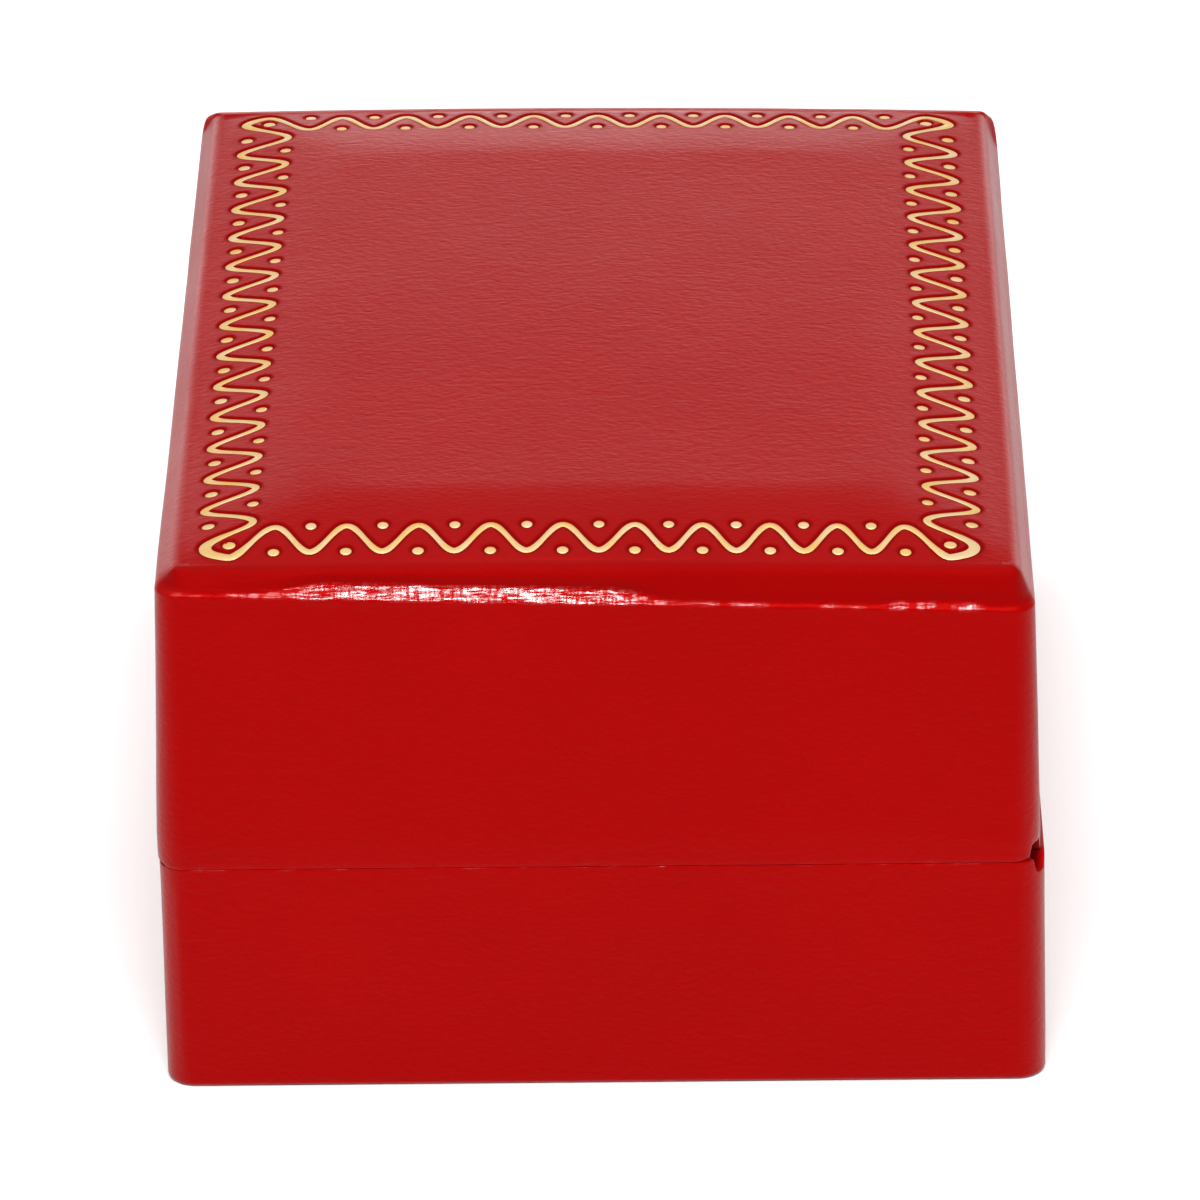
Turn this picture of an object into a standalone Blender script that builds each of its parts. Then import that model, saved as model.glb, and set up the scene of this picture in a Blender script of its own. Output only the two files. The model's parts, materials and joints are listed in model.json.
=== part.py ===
"""Snap-lid ring box: leatherette over a moulded shell, velvet pad, satin lining and a steel snap hinge.

Frame: origin under the middle of the box on its resting plane, +Z up, front facing -Y, hinge at +Y.
"""

import math

import bmesh
import bpy
from mathutils import Matrix, Vector

MM = 0.001

# Whole box
WIDTH = 54.0 * MM
DEPTH = 69.0 * MM
HEIGHT = 36.2 * MM
SEAM_Z = 15.3 * MM
SEAM_GAP = 0.3 * MM
PLAN_CORNER_R = 1.8 * MM
LEAST_CORNER_R = 0.3 * MM
GAP = 0.3 * MM

# Wall layers, counted inwards from the outer face
WRAP_T = 0.4 * MM
SHELL_T = 1.2 * MM
SHELL_IN = WRAP_T + GAP
SHELL_OUT = SHELL_IN + SHELL_T
WALL_T = SHELL_OUT + GAP + WRAP_T

# Lid outline: leaning walls up to a crease, then a steep bevel and a margin that slopes to the flat top
LID_LEAN = 0.46 * MM
CREASE_BELOW_TOP = 3.0 * MM
BEVEL_ACROSS = 1.0 * MM
BEVEL_TOP_DROP = 0.8 * MM
TOP_MARGIN = 7.0 * MM
CREASE_R = 0.5 * MM
BEVEL_TOP_R = 1.2 * MM
LID_LIP_R = 1.2 * MM
BASE_LIP_R = 0.9 * MM
INNER_LIP_R = 0.6 * MM
FOOT_R = 0.6 * MM
LEAST_FILLET_R = 0.12 * MM
TURN_IN = 5.0 * MM
TURN_UNDER = 6.0 * MM
WRAP_FOOT_Z = 0.1 * MM
BOTTOM_PANEL_T = 0.5 * MM

# The lips stand back at the corners, and along the back wall they leave room for the hinge barrel
CORNER_NOTCH = 0.8 * MM
REAR_RELIEF = 1.45 * MM
RAMP_START = 5.0 * MM
RAMP_END = 3.4 * MM
CORNER_STEPS = 5
FILLET_STEPS = 4

# Ring pad: two velvet-covered foam halves that meet at a slot
PAD_FLOOR_GAP = 0.3 * MM
BOARD_T = 1.0 * MM
PAD_SIDE_GAP = 0.5 * MM
PAD_TOP_Z = SEAM_Z - 1.9 * MM
VELVET_T = 0.5 * MM
PAD_EDGE_R = 1.5 * MM
PAD_CAP_INSET = 1.8 * MM
SLOT_LENGTH = 26.0 * MM
SLOT_WIDTH = 4.8 * MM
SLOT_Y = -2.4 * MM
REAR_POCKET = 8.0 * MM

# Lid lining
LINING_T = 0.8 * MM
LINING_ABOVE_SEAM = 1.8 * MM
LINING_REAR_ABOVE_SEAM = 9.0 * MM
LID_CEILING_Z = HEIGHT - SHELL_OUT - BEVEL_TOP_DROP / 2
LID_BOARD_T = 0.8 * MM
LID_FOAM_T = 2.6 * MM
SATIN_T = 0.5 * MM
LID_PAD_EDGE_R = 1.4 * MM

# Snap hinge: barrel axis inside the back wall at the seam
AXIS_INSET = 1.4 * MM
AXIS_Y = DEPTH / 2 - AXIS_INSET
AXIS_Z = SEAM_Z
PIN_R = 0.5 * MM
BORE_R = 0.7 * MM
BARREL_R = 1.1 * MM
BARREL_HALF = 22.5 * MM
KNUCKLE_SPLIT = 14.4 * MM
KNUCKLE_INNER = 6.5 * MM
KNUCKLE_GAP = 0.3 * MM
PIN_OVERHANG = 0.4 * MM
ROUND_SIDES = 28
LEAF_T = 0.35 * MM
LEAF_NEAR = 1.5 * MM
LEAF_TOP = 1.7 * MM
LEAF_END = 7.6 * MM
ARM_LOW = 0.15 * MM
ARM_HIGH = 0.5 * MM
UNION_BITE = 0.1 * MM

# C-shaped spring strip, hooked through a window in each leaf
SPRING_T = 0.25 * MM
SPRING_HALF_W = 4.0 * MM
SPRING_HALF_SPAN = 4.0 * MM
SPRING_BULGE = 3.6 * MM
SPRING_TOE = 0.06 * MM
SPRING_LEAD = 0.2 * MM
SPRING_STEPS = 20
WINDOW_SIDE = 0.4 * MM
WINDOW_NEAR = 0.65 * MM
WINDOW_TRAVEL = 1.3 * MM
WINDOW_FAR = 0.8 * MM

# Rivets
RIVET_X = 17.5 * MM
RIVET_DROP = 4.0 * MM
RIVET_R = 0.6 * MM
RIVET_HOLE_R = 0.85 * MM
RIVET_HEAD_R = 1.3 * MM
RIVET_HEAD_T = 0.4 * MM
RIVET_HEAD_GAP = 0.15 * MM
RIVET_SIDES = 20

SMOOTH_ANGLE = math.radians(35)

# name: (colour, roughness, metallic)
FINISHES = {
    "red_leatherette": ((0.48, 0.004, 0.006), 0.42, 0.0),
    "moulded_shell": ((0.10, 0.015, 0.015), 0.5, 0.0),
    "greyboard": ((0.33, 0.30, 0.26), 0.9, 0.0),
    "pad_foam": ((0.62, 0.60, 0.55), 0.95, 0.0),
    "black_velvet": ((0.012, 0.012, 0.014), 0.95, 0.0),
    "white_satin": ((0.82, 0.80, 0.75), 0.4, 0.0),
    "hinge_steel": ((0.62, 0.63, 0.64), 0.3, 1.0),
}


def clear_scene():
    for old in list(bpy.data.objects):
        bpy.data.objects.remove(old, do_unlink=True)


def finish(name):
    """The Principled material of that name, made once."""
    material = bpy.data.materials.get(name)
    if material is None:
        colour, roughness, metallic = FINISHES[name]
        material = bpy.data.materials.new(name)
        material.use_nodes = True
        shader = material.node_tree.nodes["Principled BSDF"]
        shader.inputs["Base Color"].default_value = (*colour, 1.0)
        shader.inputs["Roughness"].default_value = roughness
        shader.inputs["Metallic"].default_value = metallic
        material.diffuse_color = (*colour, 1.0)
    return material


def empty(name, place, parent=None):
    pivot = bpy.data.objects.new(name, None)
    pivot.empty_display_size = 5 * MM
    bpy.context.scene.collection.objects.link(pivot)
    pivot.location = Vector(place) - (parent.location if parent else Vector())
    pivot.parent = parent
    return pivot


def add_object(name, mesh_data, material, pivot):
    """Closes a bmesh given in box coordinates into a named object whose origin is on its pivot."""
    bmesh.ops.translate(mesh_data, verts=mesh_data.verts, vec=-pivot.matrix_world.translation)
    bmesh.ops.recalc_face_normals(mesh_data, faces=mesh_data.faces)
    mesh = bpy.data.meshes.new(name)
    mesh_data.to_mesh(mesh)
    mesh_data.free()
    mesh.shade_smooth()
    mesh.set_sharp_from_angle(angle=SMOOTH_ANGLE)
    mesh.materials.append(finish(material))
    made = bpy.data.objects.new(name, mesh)
    bpy.context.scene.collection.objects.link(made)
    made.parent = pivot
    return made


def cut(target, cutter, operation="DIFFERENCE"):
    """Applies one solid to another; the second is only a guide."""
    step = target.modifiers.new(cutter.name, "BOOLEAN")
    step.operation = operation
    step.solver = "EXACT"
    step.object = cutter
    cutter.hide_render = True
    cutter.display_type = "WIRE"


# A corner is (inset, z, fillet radius, edge). The inset counts inwards from the outer face at the seam.
# A LIP stands back from the seam along the back wall, and an OUTER_LIP at the box's corners too.
PLAIN, LIP, OUTER_LIP = 0, 1, 2


def rounded(corners):
    """The (inset, z, edge) points of an open run of corners, each with its fillet."""
    points = [(corners[0][0], corners[0][1], corners[0][3])]
    for before, corner, after in zip(corners, corners[1:], corners[2:]):
        here = Vector(corner[:2])
        to_before = (Vector(before[:2]) - here).normalized()
        to_after = (Vector(after[:2]) - here).normalized()
        half = to_before.angle(to_after) / 2
        radius = max(corner[2], LEAST_FILLET_R)
        centre = here + (to_before + to_after).normalized() * (radius / math.sin(half))
        first = here + to_before * (radius / math.tan(half)) - centre
        last = here + to_after * (radius / math.tan(half)) - centre
        turn = math.atan2(first.x * last.y - first.y * last.x, first.dot(last))
        for step in range(FILLET_STEPS + 1):
            spoke = Matrix.Rotation(turn * step / FILLET_STEPS, 2) @ first
            points.append((*(centre + spoke), corner[3]))
    points.append((corners[-1][0], corners[-1][1], corners[-1][3]))
    return points


def moved_in(corners, distance, side):
    """Offsets a run of corners by a distance into the wall: side is 1 with the wall on its left, or -1."""
    moved = []
    for index, (inset, z, radius, edge) in enumerate(corners):
        here = Vector((inset, z))
        runs = []
        if index > 0:
            runs.append(here - Vector(corners[index - 1][:2]))
        if index < len(corners) - 1:
            runs.append(Vector(corners[index + 1][:2]) - here)
        normals = [Vector((-run.y, run.x)).normalized() * side for run in runs]
        middle = (normals[0] + normals[-1]).normalized()
        place = here + middle * (distance / middle.dot(normals[0]))
        moved.append((place.x, place.y, radius - distance, edge))
    return moved


def relief(y, step, edge):
    """How far an edge stands back from the seam at one point of the outline."""
    if edge == PLAIN:
        return 0.0
    ramp = (y - (DEPTH / 2 - RAMP_START)) / (RAMP_START - RAMP_END)
    back = REAR_RELIEF * min(max(ramp, 0.0), 1.0)
    on_corner = step is not None and 0 < step < CORNER_STEPS
    return max(CORNER_NOTCH, back) if edge == OUTER_LIP and on_corner else back


def box_outline(inset, z, edge, away):
    """The rounded rectangle at one inset and height, as points with the lips moved away from the seam."""
    half_x, half_y = WIDTH / 2 - inset, DEPTH / 2 - inset
    radius = max(PLAN_CORNER_R - inset, LEAST_CORNER_R)
    ramp_low = min(DEPTH / 2 - RAMP_START, half_y - radius - 2 * LEAST_CORNER_R)
    ramp_high = min(DEPTH / 2 - RAMP_END, half_y - radius - LEAST_CORNER_R)
    flat = []
    for index, (sign_x, sign_y) in enumerate(((1, -1), (1, 1), (-1, 1), (-1, -1))):
        for step in range(CORNER_STEPS + 1):
            angle = math.radians(90 * (index - 1 + step / CORNER_STEPS))
            x = sign_x * (half_x - radius) + radius * math.cos(angle)
            y = sign_y * (half_y - radius) + radius * math.sin(angle)
            flat.append((x, y, step))
        if index == 0:
            flat += [(half_x, ramp_low, None), (half_x, ramp_high, None)]
        if index == 2:
            flat += [(-half_x, ramp_high, None), (-half_x, ramp_low, None)]
    return [(x, y, z + away * relief(y, step, edge)) for x, y, step in flat]


def base_outline(inset, z, edge):
    return box_outline(inset, z, edge, -1)


def lid_outline(inset, z, edge):
    crease_z = HEIGHT - CREASE_BELOW_TOP
    lean = LID_LEAN * min((z - SEAM_Z) / (crease_z - SEAM_Z), 1.0)
    return box_outline(inset + lean, z, edge, 1)


def swept(points, outline, capped):
    """A closed solid: the section's points swept round an outline, with end caps or joined end to end."""
    mesh_data = bmesh.new()
    loops = [[mesh_data.verts.new(place) for place in outline(*point)] for point in points]
    pairs = list(zip(loops, loops[1:]))
    if capped:
        mesh_data.faces.new(loops[0])
        mesh_data.faces.new(loops[-1])
    else:
        pairs.append((loops[-1], loops[0]))
    for lower, upper in pairs:
        for index in range(len(lower)):
            after = (index + 1) % len(lower)
            mesh_data.faces.new((lower[index], lower[after], upper[after], upper[index]))
    return mesh_data


def block(low, high):
    mesh_data = bmesh.new()
    bmesh.ops.create_cube(mesh_data, size=1.0)
    low, high = Vector(low), Vector(high)
    bmesh.ops.scale(mesh_data, verts=mesh_data.verts, vec=high - low)
    bmesh.ops.translate(mesh_data, verts=mesh_data.verts, vec=(low + high) / 2)
    return mesh_data


def rod(radius, start, end, sides):
    """A solid cylinder from one point to another, which differ along X or along Y."""
    mesh_data = bmesh.new()
    start, end = Vector(start), Vector(end)
    turn = (end - start).to_track_quat("Z", "Y").to_matrix().to_4x4()
    bmesh.ops.create_cone(
        mesh_data,
        cap_ends=True,
        segments=sides,
        radius1=radius,
        radius2=radius,
        depth=(end - start).length,
        matrix=Matrix.Translation((start + end) / 2) @ turn,
    )
    return mesh_data


def guide(name, mesh_data, pivot):
    return add_object(name, mesh_data, "greyboard", pivot)


# Base


def base_wrap_corners():
    rim = SEAM_Z - SEAM_GAP / 2
    return [
        (TURN_UNDER, WRAP_FOOT_Z, 0.0, PLAIN),
        (0.0, WRAP_FOOT_Z, FOOT_R, PLAIN),
        (0.0, rim, BASE_LIP_R, OUTER_LIP),
        (WALL_T, rim, INNER_LIP_R, LIP),
        (WALL_T, SEAM_Z - TURN_IN, 0.0, PLAIN),
    ]


def make_base_shell(pivot):
    floor_low = WRAP_FOOT_Z + SHELL_IN
    rim = SEAM_Z - SEAM_GAP / 2 - SHELL_IN
    corners = [
        (TURN_UNDER, floor_low, 0.0, PLAIN),
        (SHELL_IN, floor_low, 0.0, PLAIN),
        (SHELL_IN, rim, BASE_LIP_R - SHELL_IN, OUTER_LIP),
        (SHELL_OUT, rim, 0.0, LIP),
        (SHELL_OUT, floor_low + SHELL_T, FOOT_R, PLAIN),
        (TURN_UNDER, floor_low + SHELL_T, 0.0, PLAIN),
    ]
    return add_object("base_shell", swept(rounded(corners), base_outline, True), "moulded_shell", pivot)


def make_base_wrap(pivot):
    outer = base_wrap_corners()
    inner = moved_in(outer, WRAP_T, -1)
    points = rounded(outer) + rounded(inner)[::-1]
    return add_object("base_wrap", swept(points, base_outline, False), "red_leatherette", pivot)


def make_bottom_panel(pivot):
    """The panel glued into the turned-under edge; its underside is what the box stands on."""
    inset = TURN_UNDER + GAP
    points = [(inset, 0.0, PLAIN), (inset, BOTTOM_PANEL_T, PLAIN)]
    return add_object("base_bottom_panel", swept(points, base_outline, True), "red_leatherette", pivot)


def pad_floor():
    return WRAP_FOOT_Z + SHELL_IN + SHELL_T + PAD_FLOOR_GAP


def make_insert_board(pivot):
    low = pad_floor()
    side = WALL_T + PAD_SIDE_GAP
    reach_x, reach_y = WIDTH / 2 - side, DEPTH / 2 - side
    mesh_data = block((-reach_x, -reach_y, low), (reach_x, DEPTH / 2 - REAR_POCKET, low + BOARD_T))
    return add_object("insert_board", mesh_data, "greyboard", pivot)


def pad_outline(rear):
    """The outline of one half of the ring pad, with the slot's recess in the side facing the other half."""
    side = WALL_T + PAD_SIDE_GAP
    far = DEPTH / 2 - REAR_POCKET if rear else -(DEPTH / 2 - side)
    towards = 1 if rear else -1
    near = SLOT_Y + towards * GAP / 2
    recess = SLOT_Y + towards * SLOT_WIDTH / 2

    def outline(inset, z, edge):
        half = WIDTH / 2 - side - inset
        slot = SLOT_LENGTH / 2 + inset
        near_y, recess_y = near + towards * inset, recess + towards * inset
        far_y = far - towards * inset
        corners = [(-half, far_y), (half, far_y), (half, near_y), (slot, near_y)]
        corners += [(slot, recess_y), (-slot, recess_y), (-slot, near_y), (-half, near_y)]
        return [(x, y, z) for x, y in corners]

    return outline


def make_pad_half(name, rear, pivot):
    """A foam block under a velvet cover that is open below, where it is glued to the board."""
    low = pad_floor() + BOARD_T + GAP
    inside = VELVET_T + GAP
    outline = pad_outline(rear)
    cover = [
        (PAD_CAP_INSET, PAD_TOP_Z, 0.0, PLAIN),
        (0.0, PAD_TOP_Z, PAD_EDGE_R, PLAIN),
        (0.0, low, 0.0, PLAIN),
    ]
    points = rounded(cover) + rounded(moved_in(cover, VELVET_T, 1))[::-1]
    add_object("ring_pad_velvet_" + name, swept(points, outline, True), "black_velvet", pivot)
    core = moved_in(cover, inside, 1)
    add_object("ring_pad_foam_" + name, swept(rounded(core), outline, True), "pad_foam", pivot)


# Lid


def lid_wrap_corners():
    rim = SEAM_Z + SEAM_GAP / 2
    return [
        (TOP_MARGIN, HEIGHT, 0.0, PLAIN),
        (BEVEL_ACROSS, HEIGHT - BEVEL_TOP_DROP, BEVEL_TOP_R, PLAIN),
        (0.0, HEIGHT - CREASE_BELOW_TOP, CREASE_R, PLAIN),
        (0.0, rim, LID_LIP_R, OUTER_LIP),
        (WALL_T, rim, INNER_LIP_R, LIP),
        (WALL_T, SEAM_Z + TURN_IN, 0.0, PLAIN),
    ]


def make_lid_wrap(pivot):
    outer = lid_wrap_corners()
    inner = moved_in(outer, WRAP_T, 1)
    points = rounded(outer) + rounded(inner)[::-1]
    return add_object("lid_wrap", swept(points, lid_outline, True), "red_leatherette", pivot)


def make_lid_shell(pivot):
    outer = moved_in(lid_wrap_corners(), SHELL_IN, 1)[:3]
    rim = SEAM_Z + SEAM_GAP / 2 + SHELL_IN
    corners = outer + [
        (SHELL_IN, rim, LID_LIP_R - SHELL_IN, OUTER_LIP),
        (SHELL_OUT, rim, 0.0, LIP),
        (SHELL_OUT, LID_CEILING_Z, CREASE_R, PLAIN),
        (TOP_MARGIN, LID_CEILING_Z, 0.0, PLAIN),
    ]
    return add_object("lid_shell", swept(rounded(corners), lid_outline, True), "moulded_shell", pivot)


def make_lid_pad(pivot):
    """Board, foam and the satin gathered over both, glued under the lid's ceiling."""
    board_low = LID_CEILING_Z - GAP - LID_BOARD_T
    foam_low = board_low - GAP - LID_FOAM_T
    satin_low = foam_low - GAP - SATIN_T
    satin_top = LID_CEILING_Z - GAP
    satin_in = WALL_T + GAP
    core_in = satin_in + SATIN_T + GAP

    def plate(low, high):
        return swept([(core_in, low, PLAIN), (core_in, high, PLAIN)], base_outline, True)

    add_object("lid_board", plate(board_low, board_low + LID_BOARD_T), "greyboard", pivot)
    add_object("lid_foam", plate(foam_low, foam_low + LID_FOAM_T), "pad_foam", pivot)
    outer = [
        (TOP_MARGIN, satin_low, 0.0, PLAIN),
        (satin_in, satin_low, LID_PAD_EDGE_R, PLAIN),
        (satin_in, satin_top, 0.0, PLAIN),
    ]
    points = rounded(outer) + rounded(moved_in(outer, SATIN_T, -1))[::-1]
    add_object("lid_satin_pad", swept(points, base_outline, True), "white_satin", pivot)
    return satin_low


def make_lid_linings(pivot, top):
    """A satin-covered card strip along each wall of the lid; the back one stops above the hinge."""
    near = WALL_T + LID_LEAN
    far = near + LINING_T
    reach_x, reach_y = WIDTH / 2 - near, DEPTH / 2 - near
    inner_x, inner_y = WIDTH / 2 - far, DEPTH / 2 - far
    low = SEAM_Z + LINING_ABOVE_SEAM
    low_rear = SEAM_Z + LINING_REAR_ABOVE_SEAM
    high = top - GAP
    end_x = inner_x - GAP
    strips = {
        "front": ((-end_x, -reach_y, low), (end_x, -inner_y, high)),
        "rear": ((-end_x, inner_y, low_rear), (end_x, reach_y, high)),
        "left": ((-reach_x, -reach_y, low), (-inner_x, reach_y, high)),
        "right": ((inner_x, -reach_y, low), (reach_x, reach_y, high)),
    }
    for side, (corner_low, corner_high) in strips.items():
        add_object("lid_lining_" + side, block(corner_low, corner_high), "white_satin", pivot)


# Snap hinge


def hinge_point(across, up, x=0.0):
    """A place in the hinge's own section: across counts from the barrel's axis towards the front."""
    return (x, AXIS_Y - across, AXIS_Z + up)


def hinge_block(x_low, x_high, near, far, low, high):
    return block(hinge_point(far, low, x_low), hinge_point(near, high, x_high))


def window_limits(side):
    """How far the spring's window in a leaf reaches, as distances up from the axis."""
    if side < 0:
        return -SPRING_HALF_SPAN - WINDOW_NEAR, -SPRING_HALF_SPAN + WINDOW_NEAR
    return SPRING_HALF_SPAN - WINDOW_TRAVEL, SPRING_HALF_SPAN + WINDOW_FAR


def make_leaf(name, side, knuckle_low, knuckle_high, pivot):
    """A pressed steel leaf: plate, two rolled knuckles on arms, rivet holes and the spring's window."""
    near, far = LEAF_NEAR, LEAF_NEAR + LEAF_T
    low, high = sorted((side * LEAF_TOP, side * LEAF_END))
    plate = hinge_block(-BARREL_HALF, BARREL_HALF, near, far, low, high)
    leaf = add_object(name, plate, "hinge_steel", pivot)
    for hand in (-1, 1):
        x_low, x_high = sorted((hand * knuckle_low, hand * knuckle_high))
        tag = name + ("_l" if hand < 0 else "_r")
        tab_low, tab_high = sorted((side * ARM_LOW, side * (LEAF_TOP + UNION_BITE)))
        tab = hinge_block(x_low, x_high, near, far, tab_low, tab_high)
        cut(leaf, guide(tag + "_tab", tab, pivot), "UNION")
        arm_low, arm_high = sorted((side * ARM_LOW, side * ARM_HIGH))
        arm = hinge_block(x_low, x_high, BORE_R + UNION_BITE, near + UNION_BITE, arm_low, arm_high)
        cut(leaf, guide(tag + "_arm", arm, pivot), "UNION")
        roll = rod(BARREL_R, hinge_point(0, 0, x_low), hinge_point(0, 0, x_high), ROUND_SIDES)
        cut(leaf, guide(tag + "_roll", roll, pivot), "UNION")
        cut(leaf, make_rivet_hole(tag + "_hole", hand, side, pivot))
    beyond = BARREL_HALF + 2 * PIN_OVERHANG
    bore = rod(BORE_R, hinge_point(0, 0, -beyond), hinge_point(0, 0, beyond), ROUND_SIDES)
    cut(leaf, guide(name + "_bore", bore, pivot))
    half = SPRING_HALF_W + WINDOW_SIDE
    window_low, window_high = window_limits(side)
    window = hinge_block(-half, half, near - GAP, far + GAP, window_low, window_high)
    cut(leaf, guide(name + "_window", window, pivot))
    return leaf


def make_rivet_hole(name, hand, side, pivot):
    """A guide that cuts a rivet's hole through leaf, turned-in edge and shell, but not the outer skin."""
    x, up = hand * RIVET_X, side * RIVET_DROP
    start = hinge_point(LEAF_NEAR + LEAF_T + GAP, up, x)
    end = (x, DEPTH / 2 - WRAP_T - GAP / 2, AXIS_Z + up)
    return guide(name, rod(RIVET_HOLE_R, start, end, RIVET_SIDES), pivot)


def make_rivet(name, hand, side, pivot):
    x, up = hand * RIVET_X, side * RIVET_DROP
    back = LEAF_NEAR + LEAF_T + RIVET_HEAD_GAP
    shank_end = (x, DEPTH / 2 - SHELL_IN - GAP, AXIS_Z + up)
    head = rod(RIVET_HEAD_R, hinge_point(back + RIVET_HEAD_T, up, x), hinge_point(back, up, x), RIVET_SIDES)
    rivet = add_object(name, head, "hinge_steel", pivot)
    shank = rod(RIVET_R, hinge_point(back + UNION_BITE, up, x), shank_end, RIVET_SIDES)
    cut(rivet, guide(name + "_shank", shank, pivot), "UNION")
    return rivet


def make_pin(pivot):
    reach = BARREL_HALF + PIN_OVERHANG
    pin = rod(PIN_R, hinge_point(0, 0, -reach), hinge_point(0, 0, reach), ROUND_SIDES)
    return add_object("hinge_pin", pin, "hinge_steel", pivot)


def make_spring(pivot):
    """A flat strip bent into half an oval with straight toes; the upper toe rests a little above its seat."""
    middle = LEAF_NEAR + LEAF_T / 2
    half_rise = SPRING_HALF_SPAN + SPRING_LEAD / 2
    line = [Vector((middle - SPRING_TOE, -SPRING_HALF_SPAN))]
    for step in range(SPRING_STEPS + 1):
        angle = math.pi * step / SPRING_STEPS
        bulge = SPRING_BULGE * math.sin(angle)
        line.append(Vector((middle + bulge, SPRING_LEAD / 2 - half_rise * math.cos(angle))))
    line.append(Vector((middle - SPRING_TOE, SPRING_HALF_SPAN + SPRING_LEAD)))
    mesh_data = bmesh.new()
    sections = []
    for index, place in enumerate(line):
        along = line[min(index + 1, len(line) - 1)] - line[max(index - 1, 0)]
        side = Vector((-along.y, along.x)).normalized() * SPRING_T / 2
        ring = []
        for x, edge in ((-1, -1), (1, -1), (1, 1), (-1, 1)):
            point = place + side * edge
            ring.append(mesh_data.verts.new(hinge_point(point.x, point.y, x * SPRING_HALF_W)))
        sections.append(ring)
    mesh_data.faces.new(sections[0])
    mesh_data.faces.new(sections[-1])
    for lower, upper in zip(sections, sections[1:]):
        for index in range(4):
            after = (index + 1) % 4
            mesh_data.faces.new((lower[index], lower[after], upper[after], upper[index]))
    return add_object("hinge_spring", mesh_data, "hinge_steel", pivot)


def drill_rivet_holes(side, word, solids, pivot):
    for hand, hand_word in ((-1, "left"), (1, "right")):
        hole = make_rivet_hole("rivet_path_" + word + "_" + hand_word, hand, side, pivot)
        for solid in solids:
            cut(solid, hole)


def main():
    clear_scene()
    base = empty("base", (0, 0, 0))
    lid = empty("lid_axis", (0, AXIS_Y, AXIS_Z), base)
    spring_axis = empty("spring_axis", hinge_point(LEAF_NEAR + LEAF_T / 2, -SPRING_HALF_SPAN), base)
    bpy.context.view_layer.update()

    base_skins = [make_base_shell(base), make_base_wrap(base)]
    make_bottom_panel(base)
    make_insert_board(base)
    make_pad_half("front", False, base)
    make_pad_half("rear", True, base)
    make_leaf("hinge_leaf_lower", -1, KNUCKLE_SPLIT + KNUCKLE_GAP / 2, BARREL_HALF, base)
    make_pin(base)
    drill_rivet_holes(-1, "lower", base_skins, base)

    lid_skins = [make_lid_shell(lid), make_lid_wrap(lid)]
    satin_low = make_lid_pad(lid)
    make_lid_linings(lid, satin_low)
    make_leaf("hinge_leaf_upper", 1, KNUCKLE_INNER, KNUCKLE_SPLIT - KNUCKLE_GAP / 2, lid)
    drill_rivet_holes(1, "upper", lid_skins, lid)

    for word, side, pivot in (("lower", -1, base), ("upper", 1, lid)):
        for hand_word, hand in (("left", -1), ("right", 1)):
            make_rivet("hinge_rivet_" + word + "_" + hand_word, hand, side, pivot)

    make_spring(spring_axis)


main()
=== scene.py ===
import json
import math

import bpy
import numpy as np
from mathutils import Matrix, Vector, noise
from mathutils.geometry import delaunay_2d_cdt
from mathutils.kdtree import KDTree


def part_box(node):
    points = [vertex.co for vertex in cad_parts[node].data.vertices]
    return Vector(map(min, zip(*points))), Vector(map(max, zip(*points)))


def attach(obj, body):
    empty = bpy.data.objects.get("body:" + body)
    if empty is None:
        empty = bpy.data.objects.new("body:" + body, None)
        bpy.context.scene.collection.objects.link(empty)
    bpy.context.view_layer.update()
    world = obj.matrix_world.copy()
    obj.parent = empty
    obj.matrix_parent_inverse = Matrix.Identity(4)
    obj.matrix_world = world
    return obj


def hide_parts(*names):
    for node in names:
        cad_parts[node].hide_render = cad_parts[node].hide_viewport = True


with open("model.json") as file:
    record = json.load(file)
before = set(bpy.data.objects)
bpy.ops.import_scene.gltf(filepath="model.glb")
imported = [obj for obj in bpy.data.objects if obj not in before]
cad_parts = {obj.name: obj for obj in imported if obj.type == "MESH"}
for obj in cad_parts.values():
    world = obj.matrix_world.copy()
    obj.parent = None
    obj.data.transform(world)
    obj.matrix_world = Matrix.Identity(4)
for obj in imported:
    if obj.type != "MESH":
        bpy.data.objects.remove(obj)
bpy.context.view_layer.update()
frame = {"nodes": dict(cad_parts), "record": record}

MM = 0.001


def node_box(name):
    low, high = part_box(name)
    return [value / MM for value in low], [value / MM for value in high]


LID_LOW, LID_HIGH = node_box("lid_wrap")
BASE_HIGH = node_box("base_wrap")[1]
HALF_X, HALF_Y = BASE_HIGH[0], BASE_HIGH[1]
TOP = LID_HIGH[2]
SEAM = (LID_LOW[2] + BASE_HIGH[2]) / 2
SLOT = next(o for o in frame["record"]["physics"]["openings"] if o["name"] == "ring_slot")["box_m"]
SLOT_LOW, SLOT_HIGH = ([value / MM for value in corner] for corner in SLOT)
SHELL_CEILING = node_box("lid_satin_pad")[1][2] + 0.3

# Leatherette outline, in millimetres: corner radii, the lid wall's lean up to its crease, and the bevel above
CORNER_R = 1.8
LEAST_R = 0.3
LEAN = 0.46
CREASE = TOP - 3.0
BEVEL_ACROSS = 1.0
BEVEL_TOP = TOP - 1.08
# Wall at the rim, and how far the cover is turned in
WALL_T = 2.6
TURN_IN = 5.0
# How far both rims stand back over the hinge, and the stretch of y in which that builds up
REAR_RELIEF = 1.63
RAMP_START, RAMP_END = HALF_Y - 5.0, HALF_Y - 3.4
# Spacing of mesh points along the walls, and round each corner
EDGE_STEP = 0.45
CORNER_STEPS = 12


def hills(points, size, octaves=3, seed=0.0):
    """Smooth noise from -1 to 1 at each point, with features about size millimetres across."""
    shift = Vector((seed * 17.3, seed * -9.1, seed * 5.7))
    return np.array([noise.fractal(Vector(p) / size + shift, 0.8, 2.0, octaves) for p in points])


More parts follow.
